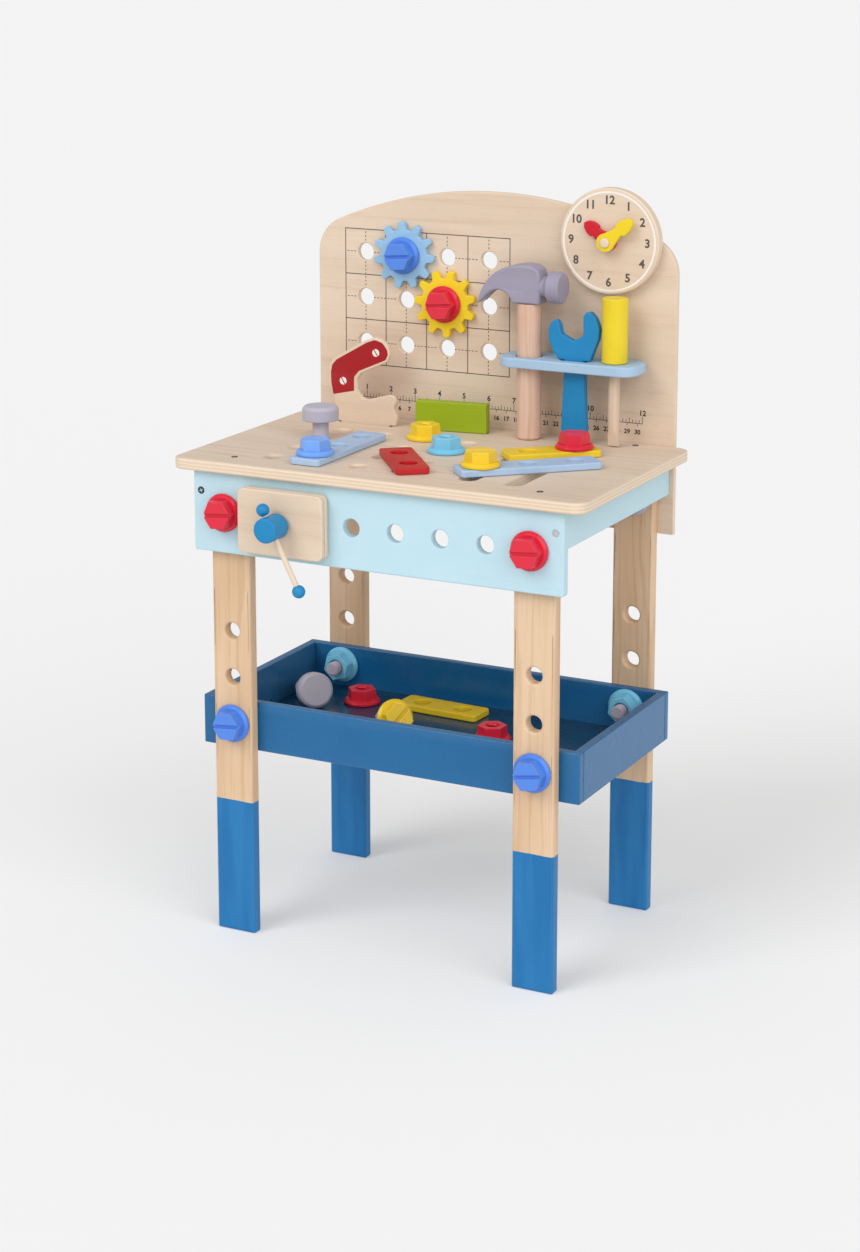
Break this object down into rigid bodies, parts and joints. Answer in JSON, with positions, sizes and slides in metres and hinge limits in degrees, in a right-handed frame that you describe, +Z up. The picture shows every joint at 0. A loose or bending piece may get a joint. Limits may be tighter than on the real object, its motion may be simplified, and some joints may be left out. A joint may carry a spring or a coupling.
{
  "type": "toy workbench",
  "caption": "Wooden toy workbench with a pegboard back, clock, gears, tool rack, vise, holed top, slatted legs and a low tray, with toy tools and chunky bolts.",
  "frame": {"origin": "middle of the bench's outer box, on the floor", "axes": "+X to the right as seen from the front, +Y to the back where the pegboard stands, +Z up"},
  "size_m": [0.394, 0.2898, 0.666],
  "materials": {
    "birch": "birch plywood, clear satin",
    "pine": "planed pine, matt clear",
    "pale_blue": "pale blue satin paint on plywood",
    "tray_blue": "dark blue satin paint on plywood",
    "strip_blue": "light blue satin paint",
    "gear_blue_paint": "light blue satin paint",
    "bolt_blue_paint": "blue gloss paint",
    "sky_blue": "sky blue gloss paint",
    "tool_blue": "blue gloss paint",
    "red": "red gloss paint",
    "saw_red": "dark red satin paint",
    "yellow": "yellow gloss paint",
    "amber": "warm yellow gloss paint",
    "grey": "lilac grey satin paint",
    "green": "leaf green satin paint"
  },
  "bodies": {
    "bench": {"tabletop": "birch", "backboard": "birch", "front_apron": "pale_blue", "left_apron": "pale_blue", "right_apron": "pale_blue", "leg_front_left": "pine", "leg_front_right": "pine", "leg_back_left": "pine", "leg_back_right": "pine", "tray_front": "tray_blue", "tray_back": "tray_blue", "tray_left": "tray_blue", "tray_right": "tray_blue", "tray_floor": "tray_blue", "tool_rack": "pale_blue", "clock_face": "birch", "clock_pin": "birch", "vise_back_board": "birch"},
    "hour_hand": {"hour_hand": "red"},
    "minute_hand": {"minute_hand": "yellow"},
    "gear_blue": {"gear_blue": "gear_blue_paint"},
    "gear_yellow": {"gear_yellow": "yellow"},
    "gear_bolt_blue": {"gear_bolt_blue": "bolt_blue_paint"},
    "gear_bolt_red": {"gear_bolt_red": "red"},
    "apron_bolt_left": {"apron_bolt_left": "red"},
    "board_bolt_left": {"board_bolt_left": "grey"},
    "tray_bolt_front_left": {"tray_bolt_front_left": "bolt_blue_paint"},
    "tray_bolt_back_left": {"tray_bolt_back_left": "grey"},
    "tray_nut_back_left": {"tray_nut_back_left": "sky_blue"},
    "apron_bolt_right": {"apron_bolt_right": "red"},
    "board_bolt_right": {"board_bolt_right": "grey"},
    "tray_bolt_front_right": {"tray_bolt_front_right": "bolt_blue_paint"},
    "tray_bolt_back_right": {"tray_bolt_back_right": "grey"},
    "tray_nut_back_right": {"tray_nut_back_right": "sky_blue"},
    "vise_jaw": {"vise_jaw": "birch"},
    "vise_screw": {"vise_screw": "tool_blue"},
    "vise_bar": {"vise_bar": "tool_blue"},
    "hammer": {"hammer_handle": "pine", "hammer_head": "grey"},
    "wrench": {"wrench": "tool_blue"},
    "screwdriver": {"screwdriver_handle": "yellow", "screwdriver_shaft": "pine"},
    "saw": {"saw": "saw_red"},
    "green_block": {"green_block": "green"},
    "bolt_grey": {"bolt_grey": "grey"},
    "strip_blue_a": {"strip_blue_a": "strip_blue"},
    "bolt_blue": {"bolt_blue": "bolt_blue_paint"},
    "strip_red": {"strip_red": "red"},
    "nut_yellow": {"nut_yellow": "amber"},
    "nut_blue": {"nut_blue": "sky_blue"},
    "strip_blue_b": {"strip_blue_b": "strip_blue"},
    "bolt_yellow": {"bolt_yellow": "amber"},
    "strip_yellow": {"strip_yellow": "yellow"},
    "bolt_red": {"bolt_red": "red"},
    "tray_loose_bolt_grey": {"tray_loose_bolt_grey": "grey"},
    "tray_loose_bolt_yellow": {"tray_loose_bolt_yellow": "amber"},
    "tray_loose_nut_red_a": {"tray_loose_nut_red_a": "red"},
    "tray_loose_nut_red_b": {"tray_loose_nut_red_b": "red"},
    "tray_loose_strip_yellow": {"tray_loose_strip_yellow": "yellow"}
  },
  "joints": [
    {"name": "hour_hand_turn", "type": "hinge", "parent": "bench", "child": "hour_hand", "pos_m": [0.119, 0.1123, 0.6185], "axis": [0, 1, 0], "continuous": true},
    {"name": "minute_hand_turn", "type": "hinge", "parent": "bench", "child": "minute_hand", "pos_m": [0.119, 0.1073, 0.6185], "axis": [0, 1, 0], "continuous": true},
    {"name": "gear_blue_turn", "type": "hinge", "parent": "bench", "child": "gear_blue", "pos_m": [-0.0884, 0.1213, 0.5923], "axis": [0, 1, 0], "continuous": true},
    {"name": "gear_yellow_turn", "type": "hinge", "parent": "bench", "child": "gear_yellow", "pos_m": [-0.046, 0.1213, 0.5499], "axis": [0, 1, 0], "continuous": true},
    {"name": "gear_bolt_blue_turn", "type": "hinge", "parent": "bench", "child": "gear_bolt_blue", "pos_m": [-0.0884, 0.1123, 0.5923], "axis": [0, 1, 0], "continuous": true},
    {"name": "gear_bolt_red_turn", "type": "hinge", "parent": "bench", "child": "gear_bolt_red", "pos_m": [-0.046, 0.1123, 0.5499], "axis": [0, 1, 0], "continuous": true},
    {"name": "apron_bolt_left_turn", "type": "hinge", "parent": "bench", "child": "apron_bolt_left", "pos_m": [-0.147, -0.0977, 0.391], "axis": [0, 1, 0], "continuous": true},
    {"name": "board_bolt_left_turn", "type": "hinge", "parent": "bench", "child": "board_bolt_left", "pos_m": [-0.147, 0.1223, 0.391], "axis": [0, 1, 0], "continuous": true},
    {"name": "tray_bolt_front_left_turn", "type": "hinge", "parent": "bench", "child": "tray_bolt_front_left", "pos_m": [-0.147, -0.0977, 0.1965], "axis": [0, 1, 0], "continuous": true},
    {"name": "tray_bolt_back_left_turn", "type": "hinge", "parent": "bench", "child": "tray_bolt_back_left", "pos_m": [-0.147, 0.1223, 0.1965], "axis": [0, 1, 0], "continuous": true},
    {"name": "tray_nut_back_left_turn", "type": "hinge", "parent": "bench", "child": "tray_nut_back_left", "pos_m": [-0.147, 0.0963, 0.1965], "axis": [0, 1, 0], "continuous": true},
    {"name": "apron_bolt_right_turn", "type": "hinge", "parent": "bench", "child": "apron_bolt_right", "pos_m": [0.147, -0.0977, 0.391], "axis": [0, 1, 0], "continuous": true},
    {"name": "board_bolt_right_turn", "type": "hinge", "parent": "bench", "child": "board_bolt_right", "pos_m": [0.147, 0.1223, 0.391], "axis": [0, 1, 0], "continuous": true},
    {"name": "tray_bolt_front_right_turn", "type": "hinge", "parent": "bench", "child": "tray_bolt_front_right", "pos_m": [0.147, -0.0977, 0.1965], "axis": [0, 1, 0], "continuous": true},
    {"name": "tray_bolt_back_right_turn", "type": "hinge", "parent": "bench", "child": "tray_bolt_back_right", "pos_m": [0.147, 0.1223, 0.1965], "axis": [0, 1, 0], "continuous": true},
    {"name": "tray_nut_back_right_turn", "type": "hinge", "parent": "bench", "child": "tray_nut_back_right", "pos_m": [0.147, 0.0963, 0.1965], "axis": [0, 1, 0], "continuous": true},
    {"name": "vise_jaw_slide", "type": "slide", "parent": "bench", "child": "vise_jaw", "axis": [0, -1, 0], "range_m": [0, 0.015]},
    {"name": "vise_screw_turn", "type": "hinge", "parent": "vise_jaw", "child": "vise_screw", "pos_m": [-0.0844, -0.1177, 0.3895], "axis": [0, -1, 0], "range_deg": [0, 1080]},
    {"name": "vise_bar_slide", "type": "slide", "parent": "vise_screw", "child": "vise_bar", "axis": [-0.454, 0, 0.891], "range_m": [0, 0.041]},
    {"name": "hammer_lift", "type": "slide", "parent": "bench", "child": "hammer", "axis": [0, 0, 1], "range_m": [0, 0.085]},
    {"name": "wrench_lift", "type": "slide", "parent": "bench", "child": "wrench", "axis": [0, 0, 1], "range_m": [0, 0.012]},
    {"name": "screwdriver_lift", "type": "slide", "parent": "bench", "child": "screwdriver", "axis": [0, 0, 1], "range_m": [0, 0.012]},
    {"name": "saw_lift", "type": "slide", "parent": "bench", "child": "saw", "axis": [0, 0, 1], "range_m": [0, 0.09]},
    {"name": "green_block_lift", "type": "slide", "parent": "bench", "child": "green_block", "axis": [0, 0, 1], "range_m": [0, 0.05]},
    {"name": "bolt_grey_slide", "type": "slide", "parent": "bench", "child": "bolt_grey", "axis": [0, 0, 1], "range_m": [-0.017, 0.06]},
    {"name": "strip_blue_a_lift", "type": "slide", "parent": "bench", "child": "strip_blue_a", "axis": [0, 0, 1], "range_m": [0, 0.05]},
    {"name": "bolt_blue_lift", "type": "slide", "parent": "strip_blue_a", "child": "bolt_blue", "axis": [0, 0, 1], "range_m": [0, 0.05]},
    {"name": "strip_red_lift", "type": "slide", "parent": "bench", "child": "strip_red", "axis": [0, 0, 1], "range_m": [0, 0.05]},
    {"name": "nut_yellow_lift", "type": "slide", "parent": "bench", "child": "nut_yellow", "axis": [0, 0, 1], "range_m": [0, 0.04]},
    {"name": "nut_blue_lift", "type": "slide", "parent": "bench", "child": "nut_blue", "axis": [0, 0, 1], "range_m": [0, 0.04]},
    {"name": "strip_blue_b_lift", "type": "slide", "parent": "bench", "child": "strip_blue_b", "axis": [0, 0, 1], "range_m": [0, 0.05]},
    {"name": "bolt_yellow_lift", "type": "slide", "parent": "strip_blue_b", "child": "bolt_yellow", "axis": [0, 0, 1], "range_m": [0, 0.05]},
    {"name": "strip_yellow_lift", "type": "slide", "parent": "bench", "child": "strip_yellow", "axis": [0, 0, 1], "range_m": [0, 0.05]},
    {"name": "bolt_red_lift", "type": "slide", "parent": "strip_yellow", "child": "bolt_red", "axis": [0, 0, 1], "range_m": [0, 0.05]},
    {"name": "tray_loose_bolt_grey_lift", "type": "slide", "parent": "bench", "child": "tray_loose_bolt_grey", "axis": [0, 0, 1], "range_m": [0, 0.05]},
    {"name": "tray_loose_bolt_yellow_lift", "type": "slide", "parent": "bench", "child": "tray_loose_bolt_yellow", "axis": [0, 0, 1], "range_m": [0, 0.05]},
    {"name": "tray_loose_nut_red_a_lift", "type": "slide", "parent": "bench", "child": "tray_loose_nut_red_a", "axis": [0, 0, 1], "range_m": [0, 0.05]},
    {"name": "tray_loose_nut_red_b_lift", "type": "slide", "parent": "bench", "child": "tray_loose_nut_red_b", "axis": [0, 0, 1], "range_m": [0, 0.05]},
    {"name": "tray_loose_strip_yellow_lift", "type": "slide", "parent": "bench", "child": "tray_loose_strip_yellow", "axis": [0, 0, 1], "range_m": [0, 0.05]}
  ],
  "couplings": [
    {"joint": "gear_yellow_turn", "follows": "gear_blue_turn", "ratio": -1},
    {"joint": "vise_screw_turn", "follows": "vise_jaw_slide", "rad_per_m": 1256.6}
  ]
}
